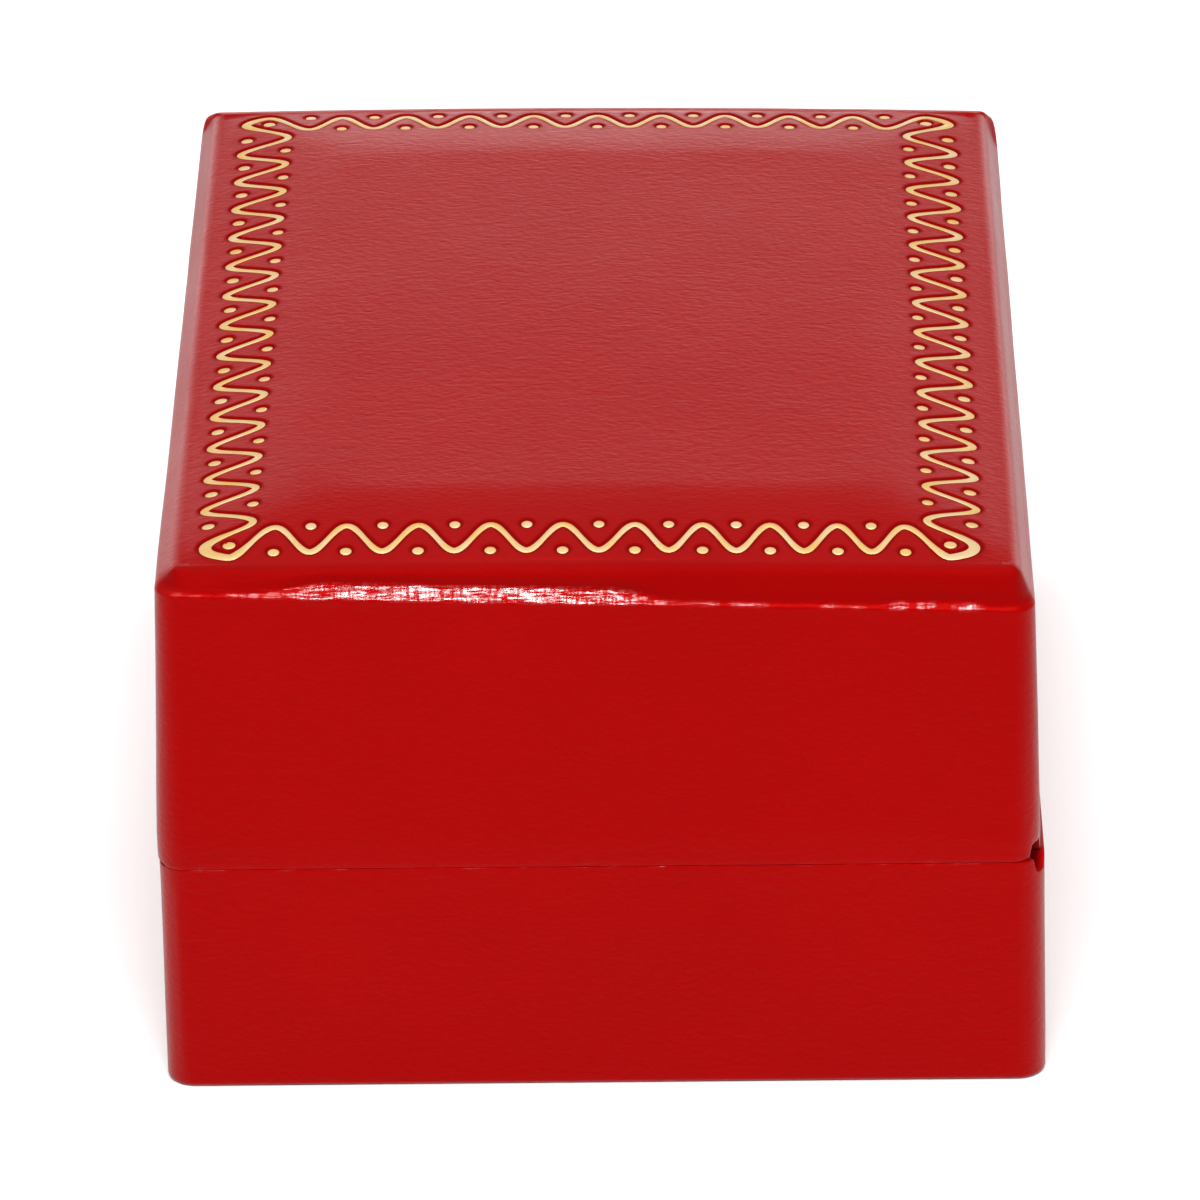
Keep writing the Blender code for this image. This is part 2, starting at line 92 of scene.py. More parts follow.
def smooth(value, low, high):
    t = np.clip((value - low) / (high - low), 0.0, 1.0)
    return t * t * (3.0 - 2.0 * t)


def add_object(name, data):
    added = bpy.data.objects.new(name, data)
    bpy.context.scene.collection.objects.link(added)
    return added


def make_mesh(name, points, faces, material, body):
    """Smooth-shaded piece from points in millimetres. One with no body yet rides on its body later."""
    mesh = bpy.data.meshes.new(name)
    corners = [tuple(int(i) for i in face) for face in faces]
    mesh.from_pydata([tuple(c * MM for c in p) for p in points], [], corners)
    mesh.update()
    mesh.materials.append(material)
    mesh.shade_smooth()
    piece = add_object(name, mesh)
    if body:
        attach(piece, body)
    return piece


def paint(piece, name, values):
    attribute = piece.data.attributes.new(name, "FLOAT", "POINT")
    attribute.data.foreach_set("value", np.asarray(values, np.float32))


# Outline of the box in plan


def plan_outline(inset):
    """Points, outward normals and (corner, share of its arc) round the box, as many at every inset."""
    half_x, half_y = HALF_X - inset, HALF_Y - inset
    radius = max(CORNER_R - inset, LEAST_R)
    counts = (int(2 * HALF_X / EDGE_STEP), int(2 * HALF_Y / EDGE_STEP))
    points, normals, corner = [], [], []
    for index, (sx, sy) in enumerate(((1, -1), (1, 1), (-1, 1), (-1, -1))):
        centre = np.array((sx * (half_x - radius), sy * (half_y - radius)))
        for step in range(CORNER_STEPS + 1):
            angle = math.radians(90 * (index - 1 + step / CORNER_STEPS))
            spoke = np.array((math.cos(angle), math.sin(angle)))
            points.append(centre + radius * spoke)
            normals.append(spoke)
            corner.append((index, step / CORNER_STEPS))
        after = ((1, 1), (-1, 1), (-1, -1), (1, -1))[index]
        end = np.array((after[0] * (half_x - radius), after[1] * (half_y - radius))) + radius * normals[-1]
        count = counts[1] if index % 2 == 0 else counts[0]
        start = points[-1]
        for step in range(1, count):
            points.append(start + (end - start) * step / count)
            normals.append(normals[-1])
            corner.append((-1, 0.0))
    return np.array(points), np.array(normals), corner


OUTLINE_CORNER = plan_outline(0.0)[2]
# How deep each corner's lip stands back, and the part of the corner it covers:
# front right, rear right, rear left, front left
NOTCHES = ((1.0, 0.42, 0.93), (0.7, 0.0, 1.0), (0.7, 0.0, 1.0), (0.10, -0.2, 0.5))


def lip_relief(points):
    """How far the lips stand back from the seam: at the four corners, and along the back for the hinge."""
    ramp = np.clip((points[:, 1] - RAMP_START) / (RAMP_END - RAMP_START), 0.0, 1.0)
    back = REAR_RELIEF * ramp
    notch = np.zeros(len(points))
    for index, (corner, along) in enumerate(OUTLINE_CORNER):
        if corner >= 0:
            depth, start, end = NOTCHES[corner]
            edge = min(along - start, end - along)
            notch[index] = depth * min(max(edge / 0.09, 0.0), 1.0)
    return back, notch


def in_notch(points):
    """Points of the hollow behind the front right corner's notch, where shade is painted in."""
    x, y, z = points.T
    near = (x > HALF_X - 2.0) & (x < HALF_X - 0.25) & (y < -HALF_Y + 2.0) & (y > -HALF_Y + 0.25)
    corner = np.hypot(x - HALF_X + CORNER_R, y + HALF_Y - CORNER_R)
    outside = (x > HALF_X - CORNER_R) & (y < -HALF_Y + CORNER_R) & (corner > CORNER_R - 0.2)
    return near & ~outside & (np.abs(z - SEAM) < 5.5)


def plan_tree(points):
    tree = KDTree(len(points))
    for index, (x, y) in enumerate(points):
        tree.insert((x, y, 0.0), index)
    tree.balance()
    return tree


def outward(x, y, margin):
    """Sideways direction of each point within margin of a wall, and zero elsewhere."""
    walls = ((x, HALF_X), (y, HALF_Y))
    return np.column_stack([np.where(np.abs(c) > half - margin, np.sign(c), 0.0) for c, half in walls])


def quads(a, b, count):
    """Faces between two closed rows of count points each, which start at points a and b."""
    return [(a + i, a + (i + 1) % count, b + (i + 1) % count, b + i) for i in range(count)]


def sweep_rows(rows, place):
    """Grid of points from section rows (inset, z, ...), joined into quads round the outline."""
    grid = []
    for row in rows:
        points, normals, _ = plan_outline(row[0])
        grid.append(place(points, normals, row))
    count = len(grid[0])
    faces = []
    for lower in range(len(grid) - 1):
        faces += quads(lower * count, (lower + 1) * count, count)
    return np.concatenate(grid), faces, count


def arc(centre, radii, start, end, steps):
    angles = np.radians(np.linspace(start, end, steps + 1))
    return [(centre[0] + radii[0] * math.cos(a), centre[1] + radii[1] * math.sin(a)) for a in angles]


# Half of the gap between the rims, and the rolled lips as (inset, distance from the rim)
SEAM_HALF = 0.004
LID_LIP = ((0.0, 1.75), (0.006, 1.2), (0.012, 0.7), (0.020, 0.35), (0.030, 0.12), (0.045, 0.03),
           (0.075, 0.0), (0.55, 0.0), (1.1, 0.0), (1.6, 0.0))
BASE_LIP = ((0.0, 0.60), (0.0, 0.30), (0.002, 0.14), (0.006, 0.07), (0.014, 0.03), (0.028, 0.008),
            (0.05, 0.0), (0.55, 0.0), (1.0, 0.0), (1.6, 0.0))

# Lid's leatherette

# The top as it was wrapped: tilt and crown across x, lift of the whole, and rise in its middle
TILT, TOP_CROWN, TOP_LIFT, TOP_RISE = -0.0085, 0.00045, 0.15, 0.22
# How far the margin falls at the front and at the back, over what width, and where the bevel takes over
MARGIN_DROP, BACK_DROP, MARGIN_REACH, TOP_INSET = 1.05, 0.68, 8.2, 2.12
EDGE_BLEND = 1.2
CREASE_TILT, CREASE_LIFT = -0.0300, -0.12
CREASE_BELOW = 0.22
# The back edge is filled out by this share to a round of this width and fall
REAR_LIFT, REAR_ROUND, REAR_FALL = 0.8, 1.8, 1.0
# How far the cover is pinched in over the front left and front right corners, and over what area
PINCH_LEFT, PINCH_RIGHT, PINCH_AREA = 0.42, 0.18, 1.7


def rim_shift(x):
    return TILT * x - TOP_CROWN * x * x + TOP_LIFT


def margin_drop(y):
    return MARGIN_DROP + (BACK_DROP - MARGIN_DROP) * smooth(y, -20.0, 20.0)


def top_height(x, y):
    """The lid's top: nearly flat in the middle, falling to the bevel, and a little lower on the right."""
    k = EDGE_BLEND
    from_edge = -k * np.log(np.exp(-(HALF_X - np.abs(x)) / k) + np.exp(-(HALF_Y - np.abs(y)) / k))
    t = np.clip(1 - (from_edge - TOP_INSET) / MARGIN_REACH, 0.0, None)
    rise = np.clip(np.cos(math.pi * y / 58), 0, 1) ** 2 * np.clip(1 - (x / 25) ** 2, 0, 1)
    return TOP - margin_drop(y) * t**1.5 + rim_shift(x) + TOP_RISE * rise


def lid_rows():
    """Section of the lid's cover as (inset, z, kind, share), from the bevel's top down and in at the rim."""
    rows = []
    bevel_run = BEVEL_TOP - CREASE
    for t in np.linspace(0.0, 1.0, 9):
        # fillet from the margin onto the bevel, as a quadratic curve
        a = np.array((TOP_INSET, TOP - MARGIN_DROP))
        b = np.array((LEAN + BEVEL_ACROSS, BEVEL_TOP))
        c = np.array((LEAN + BEVEL_ACROSS * 0.72, CREASE + bevel_run * 0.72))
        p = (1 - t) ** 2 * a + 2 * t * (1 - t) * b + t * t * c
        rows.append((p[0], p[1], "top", 0.0))
    for t in (0.64, 0.56, 0.49, 0.43, 0.37, 0.32, 0.27):
        rows.append((LEAN + BEVEL_ACROSS * t, CREASE + bevel_run * t, "bevel", t))
    for inset, dz in ((0.210, 0.440), (0.182, 0.380), (0.152, 0.320), (0.122, 0.260), (0.093, 0.200),
                      (0.065, 0.145), (0.040, 0.090), (0.018, 0.035), (0.004, -0.02), (0.0, -0.09),
                      (0.0, -CREASE_BELOW)):
        rows.append((LEAN + inset, CREASE + dz, "crease", 0.0))
    for t in (0.96, 0.92, 0.86, 0.78, 0.69, 0.60, 0.51, 0.42, 0.33, 0.25, 0.18, 0.12, 0.07, 0.03):
        rows.append((LEAN * t, t, "wall", t))
    rim = SEAM + SEAM_HALF
    for inset, up in LID_LIP:
        rows.append((inset, rim + up, "lip", 0.0))
    for inset, z in arc((WALL_T - 0.6, rim + 0.6), (0.6, 0.6), -90, 0, 4):
        rows.append((inset, z, "inner", 0.0))
    for t in (0.35, 0.7, 1.0):
        rows.append((WALL_T, rim + 0.6 + t * (TURN_IN - 0.6), "fold", t))
    rows.append((WALL_T - 0.4, rim + TURN_IN, "fold", 1.0))
    rows.append((WALL_T - 0.4, rim + TURN_IN - 1.0, "fold", 0.8))
    return rows


def rear_edge(inset, y):
    """Height of the back edge's small round, which stands in for a wide bevel there."""
    across = np.clip(1 - inset / REAR_ROUND, 0.0, 1.0)
    return TOP - margin_drop(y) - REAR_FALL * (1 - np.sqrt(1 - across**2))


def place_lid(points, normals, row):
    """One row of the lid's cover, with each point at its own height."""
    inset, z, kind, share = row
    rear = REAR_LIFT * smooth(normals[:, 1], 0.05, 0.75)
    back, notch = lip_relief(points)
    x, y = points[:, 0], points[:, 1]
    crease_shift = CREASE_TILT * x + CREASE_LIFT
    heights = np.full(len(points), float(z))
    if inset == TOP_INSET:
        heights = top_height(x, y)
    elif kind in ("top", "bevel", "crease"):
        blend = smooth(np.array(z), CREASE, TOP - MARGIN_DROP)
        heights = heights + blend * (rim_shift(x) + MARGIN_DROP - margin_drop(y)) + (1 - blend) * crease_shift
        heights = heights + rear * np.maximum(rear_edge(inset, y) + rim_shift(x) - heights, 0.0)
        # the cover is pinched in where it folds over the two front corners
        near = np.exp(-((np.abs(x) - HALF_X + 0.5) ** 2 + (y + HALF_Y - 0.5) ** 2) / PINCH_AREA)
        pinch = np.where(x < 0, PINCH_LEFT, PINCH_RIGHT) * near * smooth(z, CREASE + 0.1, CREASE + 0.55)
        pinch = pinch * (1 - smooth(z, TOP - 1.5, TOP - 1.0))
        x, y = x - np.sign(x) * pinch, y + pinch
    elif kind == "wall":
        low = SEAM + SEAM_HALF + LID_LIP[0][1] + np.maximum(back, notch)
        high = CREASE - CREASE_BELOW + crease_shift
        high = high + rear * np.maximum(rear_edge(0.0, y) + rim_shift(x) - high, 0.0)
        heights = low + (high - low) * share
    elif kind == "lip":
        heights = heights + np.maximum(back, notch)
    elif kind == "inner":
        heights = heights + back
    elif kind == "fold":
        heights = heights + back * (1 - share)
    return np.column_stack([x, y, heights])


# Stamped border


def border_centre(x, y):
    """The border is stamped a little off the middle of the lid."""
    return x - 0.2 + 0.0033 * y, y - 0.003 * x


def border_layout():
    """Control points of the wavy line as (x, y, width), and the dots as (x, y, radius in x, radius in y)."""
    front = np.concatenate([[-19.06], -19.06 + np.cumsum([4.36] * 5 + [4.08] * 4)])
    back = np.linspace(-19.06, 19.06, 10)
    side = np.linspace(-27.9, 27.9, 14)
    front_out, front_in, back_out, back_in = 31.35, 28.75, 31.55, 29.25
    side_out, side_in = 23.5, 20.42
    outer_width, inner_width = 0.60, 0.54

    def run(turns, inner, outer):
        """Turns of the line along one side, as (along, across, width)."""
        row = []
        for index, along in enumerate(turns):
            row.append((along, inner, inner_width))
            if index < len(turns) - 1:
                row.append(((along + turns[index + 1]) / 2, outer, outer_width))
        return row

    front_row = [(a, -b, w) for a, b, w in run(front, front_in, front_out)]
    back_row = [(a, b, w) for a, b, w in run(back, back_in, back_out)]
    right = [(b, a, w) for a, b, w in run(side, side_in, side_out)]
    left = [(-b, a, w) for a, b, w in run(side, side_in, side_out)]
    front_turn = [(21.5, -31.66, 0.70), (22.5, -31.48, 0.78), (23.12, -30.98, 0.86), (23.2, -30.35, 0.86),
                  (22.7, -29.75, 0.66)]
    back_turn = [(23.3, 30.4, 0.70), (22.9, 31.2, 0.68), (21.6, 31.7, 0.60)]
    loop = front_row + front_turn + right + back_turn + back_row[::-1]
    loop += [(-a, b, w) for a, b, w in back_turn[::-1]] + left[::-1]
    loop += [(-a, b, w) for a, b, w in front_turn[::-1]]
    dots = [(sx * 21.78, sy * 30.49, 0.42, 0.40) for sx in (-1, 1) for sy in (-1, 1)]
    for turns, inner, outer, sign in ((front, front_in, front_out, -1), (back, back_in, back_out, 1)):
        dots += [(a, sign * outer, 0.38, 0.38) for a in turns]
        dots += [((a + b) / 2, sign * inner, 0.36, 0.38) for a, b in zip(turns, turns[1:])]
    for sign in (-1, 1):
        dots += [(sign * (side_out - 0.34), a, 0.42, 0.36) for a in side]
        dots += [(sign * (side_in + 0.1), (a + b) / 2, 0.38, 0.33) for a, b in zip(side, side[1:])]
    return loop, dots


# The line is thinner between its turns
FLANK_WIDTH = 0.42


def border_line(loop, step=0.17):
    """Smooth closed curve through the control points, as points, unit normals and widths."""
    control = np.array(loop)
    total = len(control)
    dense = []
    for index in range(total):
        p0, p1, p2, p3 = (control[(index + k) % total] for k in (-1, 0, 1, 2))
        d01, d12, d23 = (np.linalg.norm(b[:2] - a[:2]) for a, b in ((p0, p1), (p1, p2), (p2, p3)))
        m1, m2 = (p2 - p0) / (d01 + d12) * d12, (p3 - p1) / (d12 + d23) * d12
        for s in np.arange(24) / 24:
            h = (2 * s**3 - 3 * s**2 + 1, s**3 - 2 * s**2 + s, -2 * s**3 + 3 * s**2, s**3 - s**2)
            point = h[0] * p1 + h[1] * m1 + h[2] * p2 + h[3] * m2
            flank = math.sin(math.pi * s) ** 2 * min(max(d12 - 1.2, 0.0), 1.0)
            point[2] = (p1[2] * (1 - s) + p2[2] * s) * (1 - flank) + FLANK_WIDTH * flank
            dense.append(point)
    dense = np.array(dense)
    lengths = np.linalg.norm(np.roll(dense, -1, 0)[:, :2] - dense[:, :2], axis=1)
    reach = np.concatenate([[0.0], np.cumsum(lengths)])
    count = int(reach[-1] / step)
    marks = np.arange(count) * reach[-1] / count
    closed = np.vstack([dense, dense[:1]])
    line = np.column_stack([np.interp(marks, reach, closed[:, k]) for k in range(3)])
    along = np.roll(line, -1, 0)[:, :2] - np.roll(line, 1, 0)[:, :2]
    along /= np.linalg.norm(along, axis=1)[:, None]
    side = np.column_stack([along[:, 1], -along[:, 0]])
    line[:, 0], line[:, 1] = border_centre(line[:, 0], line[:, 1])
    return line[:, :2], side, line[:, 2]


LOOP, DOTS = border_layout()
LINE, LINE_SIDE, LINE_WIDTH = border_line(LOOP)
# Depth of the stamped groove, width of its wall, and how far round it the groove's shadow is painted into the
# leatherette
STAMP_DEPTH = 0.085
STAMP_EDGE = 0.13
HALO = 0.30
HALO_END = 0.52
DOT_CORE = 0.2
DOT_SIDES = 16


def dot_ring(dot, grow):
    x, y = border_centre(dot[0], dot[1])
    angles = np.arange(DOT_SIDES) * 2 * math.pi / DOT_SIDES
    return np.column_stack([x + (dot[2] + grow) * np.cos(angles), y + (dot[3] + grow) * np.sin(angles)])


# Painted shade in the leatherette's colour, which also dulls it: its strength on the front fillet and in the
# notch's hollow
FILLET_SHADE = 0.42
NOTCH_SHADE = 1.4


def stamped_points():
    """Points on the top beside the line and round the dots, each with its sink (0 or 1) and its painted
    shade, the groove's shadow.
    """
    lanes = [(LINE, 1, 1)]
    for grow, sink, shade in ((0.0, 1, 1), (STAMP_EDGE, 0, 0.7), (HALO, 0, 0.1), (HALO_END, 0, 0.0)):
        for sign in (-1, 1):
            lanes.append((LINE + LINE_SIDE * (sign * (LINE_WIDTH / 2 + grow))[:, None], sink, shade))
    for dot in DOTS:
        for grow, sink, shade in ((-DOT_CORE, 1, 1), (0.0, 1, 1), (STAMP_EDGE, 0, 0.7), (HALO, 0, 0.1)):
            lanes.append((dot_ring(dot, grow), sink, shade))
    places = np.concatenate([lane for lane, _, _ in lanes])
    depth = np.concatenate([np.full(len(lane), float(sink)) for lane, sink, _ in lanes])
    groove_shade = np.concatenate([np.full(len(lane), float(shade)) for lane, _, shade in lanes])
    return places, depth, groove_shade


def thinned(chosen, depth, groove_shade):
    """Which points stay: where two rows of one bend cross, the pressed one is kept."""
    tree = plan_tree(chosen)
    keep = np.ones(len(chosen), bool)
    rank = np.empty(len(chosen), int)
    rank[np.argsort(-depth - groove_shade * 0.1, kind="stable")] = np.arange(len(chosen))
    for index, (x, y) in enumerate(chosen):
        for _, other, gap in tree.find_range((x, y, 0.0), 0.12):
            close = gap < 0.055 or (depth[other] > depth[index] and gap < 0.11)
            if other != index and rank[other] < rank[index] and close:
                keep[index] = False
                break
    return keep, tree


def rim_shine(points, width, most):
    """Polish in short dashes along the front of the seam."""
    _, y, z = points.T
    shine = np.exp(-((z - SEAM) / width) ** 2) * (y < -HALF_Y + 1.5) * most
    return shine * smooth(hills(points, 1.1, 2, 9.0), 0.05, 0.5)


def shape_front(points):
    """Draws the cover over the board's front edge in a narrow, wrinkled facet. Gives its polish and the
    fillet's painted shade.
    """
    x, y, z = points.T
    above = z - CREASE - CREASE_TILT * x - CREASE_LIFT
    zone = smooth(x, -21.0, -15.5) * (1 - smooth(x, 1.0, 5.0))
    small = 0.17 * smooth(x, 17.0, 18.5) * (1 - smooth(x, 22.5, 24.0))
    width = 0.10 + 0.10 * smooth(x, -26.0, -20.0) * (1 - zone) + 0.60 * zone + small
    facet = 0.40 * np.clip(above, 0.0, width) * (1 - smooth(above, width, width + 0.75))
    fine = hills(points * np.array((1.0, 1.0, 2.4)), 0.9, 3, 3.0)
    broad = hills(points, 3.2, 2, 4.0)
    crumple = 1 - smooth(np.abs(above - width / 2), width / 2, width / 2 + 0.25)
    crumple = crumple * (zone + 0.3 * small + 0.1)
    front = y < -HALF_Y + 3
    on_bevel = front & (z > SEAM + 6) & (z < BEVEL_TOP + 0.3)
    points[:, 1] += np.where(on_bevel, facet - crumple * (0.05 * fine + 0.03 * broad), 0.0)
    points[:, 2] += np.where(on_bevel, crumple * (0.03 * fine - 0.02 * broad), 0.0)
    band = smooth(above, -0.06, 0.03) * (1 - smooth(above, width, width + 0.14))
    dashes = smooth(hills(np.column_stack([x, 0 * x, 0 * x]), 1.6, 2, 14.0), -0.12, 0.12)
    polish = np.where(on_bevel, band * np.maximum(zone, (0.4 + 3.5 * small) * dashes), 0.0)
    # painted shade: the fillet above the front facet is darkened in colour
    fillet = smooth(-y, HALF_Y - TOP_INSET, HALF_Y - TOP_INSET + 0.5)
    fillet = fillet * smooth(above, width * 0.8, width + 0.25)
    return polish, FILLET_SHADE * fillet * (z > SEAM + 6)


def build_lid_skin(material):
    points, faces, count = sweep_rows(lid_rows(), place_lid)
    faces = [face[::-1] for face in faces]
    ring = points[:count]
    # the top is filled in with the stamped points, and a loose grid elsewhere
    chosen, depth, groove_shade = stamped_points()
    keep, tree = thinned(chosen, depth, groove_shade)
    pitch = 0.62
    spaced = np.array([(x, y) for j, y in enumerate(np.arange(-HALF_Y + 2.5, HALF_Y - 2.5, pitch * 0.87))
                       for x in np.arange(-HALF_X + 2.5 + (j % 2) * pitch / 2, HALF_X - 2.5, pitch)
                       if tree.find((x, y, 0.0))[2] > 0.36])
    chosen, depth, groove_shade = chosen[keep], depth[keep], groove_shade[keep]
    inner = np.concatenate([chosen, spaced])
    sink = np.concatenate([depth, np.zeros(len(spaced))])
    shade = np.concatenate([groove_shade, np.zeros(len(spaced))])
    flat = [Vector((p[0], p[1])) for p in (*ring, *inner)]
    edges = [(i, (i + 1) % count) for i in range(count)]
    out_verts, _, out_faces, origin, _, _ = delaunay_2d_cdt(flat, edges, [], 1, 1e-7, True)
    base_index = len(points)
    index_of = {}
    top_points, top_groove_shade = [], []
    for index, sources in enumerate(origin):
        source = sources[0] if sources else None
        if source is not None and source < count:
            index_of[index] = source
            continue
        x, y = out_verts[index]
        deep = sink[source - count] if source is not None else 0.0
        index_of[index] = base_index + len(top_points)
        z = float(top_height(np.array(x), np.array(y))) - STAMP_DEPTH * deep
        top_points.append((x, y, z))
        top_groove_shade.append(shade[source - count] if source is not None else 0.0)
    top_points = np.array(top_points)
    points = np.concatenate([points, top_points])
    faces += [tuple(index_of[i] for i in face) for face in out_faces]
    shade_all = np.concatenate([np.zeros(base_index), top_groove_shade])
    # hand-wrapped unevenness
    x, y, z = points.T
    swell = 0.03 * hills(points, 9.0, 2, 1.0)
    on_top = z > TOP - 1.1
    points[:, 2] += np.where(on_top, 0.7 * swell, 0.0)
    side = ~on_top & (z > SEAM + 2.0)
    points[:, :2] += outward(x, y, 3) * np.where(side, swell, 0.0)[:, None]
    polish, shade_front = shape_front(points)
    shade_all = np.maximum(shade_all, shade_front)
    # painted shade in the notch's hollow
    shade_all = np.where(in_notch(points), NOTCH_SHADE, shade_all)
    lid = make_mesh("lid_cover", points, faces, material, "lid")
    paint(lid, "painted_shade", shade_all)
    paint(lid, "polish", np.maximum(polish, rim_shine(points, 0.16, 0.12)))
    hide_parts("lid_wrap")


def build_foil(material):
    """Gold foil on the floor of the stamped line and dots: a thin sheet with a turned-down rim."""
    points, faces = [], []
    half = LINE_WIDTH / 2
    lanes = (-1.0, -0.72, 0.0, 0.72, 1.0)
    lift = (-0.02, 0.022, 0.028, 0.022, -0.02)
    for lane, up in zip(lanes, lift):
        places = LINE + LINE_SIDE * (half * lane)[:, None]
        z = top_height(places[:, 0], places[:, 1]) - STAMP_DEPTH + up
        points.append(np.column_stack([places, z]))
    count = len(LINE)
    for lane in range(len(lanes) - 1):
        faces += quads(lane * count, (lane + 1) * count, count)
    total = count * len(lanes)
    for dot in DOTS:
        rings = [dot_ring(dot, grow) for grow in (0.0, -0.06, -DOT_CORE)]
        start = total
        for ring, up in zip(rings, (-0.02, 0.022, 0.03)):
            z = top_height(ring[:, 0], ring[:, 1]) - STAMP_DEPTH + up
            points.append(np.column_stack([ring, z]))
            total += len(ring)
        for level in range(2):
            faces += quads(start + level * DOT_SIDES, start + (level + 1) * DOT_SIDES, DOT_SIDES)
        faces.append(tuple(start + 2 * DOT_SIDES + i for i in range(DOT_SIDES)))
    points = np.concatenate(points)
    points[:, 2] += 0.7 * (0.03 * hills(points, 9.0, 2, 1.0))
    make_mesh("lid_foil_border", points, faces, material, "lid")


# Base's leatherette


# How far the base's right wall stands out at the seam and at the foot, and its left wall stands in
BASE_RIGHT, BASE_LEFT = (0.26, 0.46), 0.11
# Height of the underside, and radius of the foot's edge
UNDERSIDE, FOOT_R = 0.03, 0.28


def base_rows():
    """Section of the base's cover as (inset, z, kind, share), from under the foot up and in over the rim."""
    rows = [(inset, UNDERSIDE, "foot", 0.0) for inset in (6.0, 4.0, 2.0, 1.0, 0.6)]
    rows += [(inset, z, "foot", 0.0)
             for inset, z in arc((FOOT_R, UNDERSIDE + FOOT_R), (FOOT_R, FOOT_R), 270, 180, 6)]
    for t in (0.03, 0.08, 0.15, 0.24, 0.34, 0.44, 0.54, 0.64, 0.74, 0.83, 0.9, 0.95):
        rows.append((0.0, t, "wall", t))
    rim = SEAM - SEAM_HALF
    rows += [(inset, rim - down, "lip", 0.0) for inset, down in BASE_LIP]
    rows += [(inset, z, "inner", 0.0) for inset, z in arc((WALL_T - 0.6, rim - 0.6), (0.6, 0.6), 90, 0, 4)]
    for t in (0.35, 0.7, 1.0):
        rows.append((WALL_T, rim - 0.6 - t * (TURN_IN - 0.6), "fold", t))
    rows.append((WALL_T - 0.4, rim - TURN_IN, "fold", 1.0))
    rows.append((WALL_T - 0.4, rim - TURN_IN + 1.0, "fold", 0.8))
    return rows


def place_base(points, _, row):
    """One row of the base's cover, with the side walls shifted to where they stand in the photo."""
    inset, z, kind, share = row
    back, notch = lip_relief(points)
    heights = np.full(len(points), float(z))
    if kind == "wall":
        low, high = UNDERSIDE + FOOT_R, SEAM - SEAM_HALF - BASE_LIP[0][1] - np.maximum(back, notch)
        heights = low + (high - low) * share
    elif kind == "lip":
        heights = heights - np.maximum(back, notch)
    elif kind == "inner":
        heights = heights - back
    elif kind == "fold":
        heights = heights - back * (1 - share)
    outer = np.clip(1 - (inset - 0.6) / 1.3, 0.0, 1.0) if kind != "fold" else 0.0
    right = BASE_RIGHT[0] + (BASE_RIGHT[1] - BASE_RIGHT[0]) * (1 - heights / SEAM)
    x = points[:, 0]
    x = x + outer * np.where(x > 0, right * smooth(x, 18.0, 25.0), BASE_LEFT * smooth(-x, 18.0, 25.0))
    return np.column_stack([x, points[:, 1], heights])


def build_base_skin(material):
    points, faces, _ = sweep_rows(base_rows(), place_base)
    x, y, z = points.T
    swell = 0.035 * hills(points, 9.0, 2, 6.0)
    on_wall = smooth(z, 0.5, 2.0) * (1 - smooth(z, SEAM - 1.6, SEAM - 0.6))
    points[:, :2] += outward(x, y, 0.9) * (swell * on_wall)[:, None]
    # the overlap of the cover beside each front corner shows as a faint upright ridge
    off_ridge = np.abs(x) - HALF_X + 1.3 + 0.15 * hills(points, 5.0, 2, 8.0)
    ridge = np.exp(-((off_ridge / 0.16) ** 2)) * (y < -HALF_Y + 0.5)
    points[:, 1] -= 0.05 * ridge * on_wall
    base = make_mesh("base_cover", points, faces, material, "base")
    # painted shade in the notch's hollow
    paint(base, "painted_shade", np.where(in_notch(points), NOTCH_SHADE, 0.0))
    paint(base, "polish", rim_shine(points, 0.10, 0.24))
    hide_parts("base_wrap")


def build_shell_core(material):
    """The lid's moulded shell, with its top left thinner so that it stays under the cover's low corners."""
    source = bpy.data.objects["lid_shell"]
    mesh = source.data.copy()
    points = np.empty(len(mesh.vertices) * 3)
    mesh.vertices.foreach_get("co", points)
    points = points.reshape(-1, 3)
    ceiling = SHELL_CEILING * MM
    over = points[:, 2] > ceiling
    points[over, 2] = ceiling + (points[over, 2] - ceiling) * 0.3
    mesh.vertices.foreach_set("co", points.ravel())
    mesh.materials.clear()
    mesh.materials.append(material)
    core = add_object("lid_shell_core", mesh)
    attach(core, "lid")
    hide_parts("lid_shell")


# Soft pieces inside


def rounded_outline(corners, step):
    """Points and outward normals round a square-cornered plan, given anticlockwise as (x, y, radius)."""
    points, normals, ends = [], [], []
    total = len(corners)
    for index in range(total):
        before, here, after = (np.array(corners[(index + k) % total][:2], float) for k in (-1, 0, 1))
        radius = corners[index][2]
        u, v = (here - before) / np.linalg.norm(here - before), (after - here) / np.linalg.norm(after - here)
        side = math.copysign(1.0, u[0] * v[1] - u[1] * v[0])
        out_u, out_v = np.array((u[1], -u[0])), np.array((v[1], -v[0]))
        centre = here - u * radius - side * out_u * radius
        steps = max(4, int(radius * math.pi / 2 / step))
        ends.append((len(points), len(points) + steps))
        for k in range(steps + 1):
            angle = math.pi / 2 * k / steps
            spoke = out_u * math.cos(angle) + out_v * math.sin(angle)
            points.append(centre + side * radius * spoke)
            normals.append(spoke)
    filled, facing = [], []
    for index in range(total):
        start, end = ends[index]
        filled += points[start:end + 1]
        facing += normals[start:end + 1]
        a, b = points[end], points[ends[(index + 1) % total][0]]
        count = max(1, int(np.linalg.norm(b - a) / step))
        for k in range(1, count):
            filled.append(a + (b - a) * k / count)
            facing.append(normals[end])
    return np.array(filled), np.array(facing)


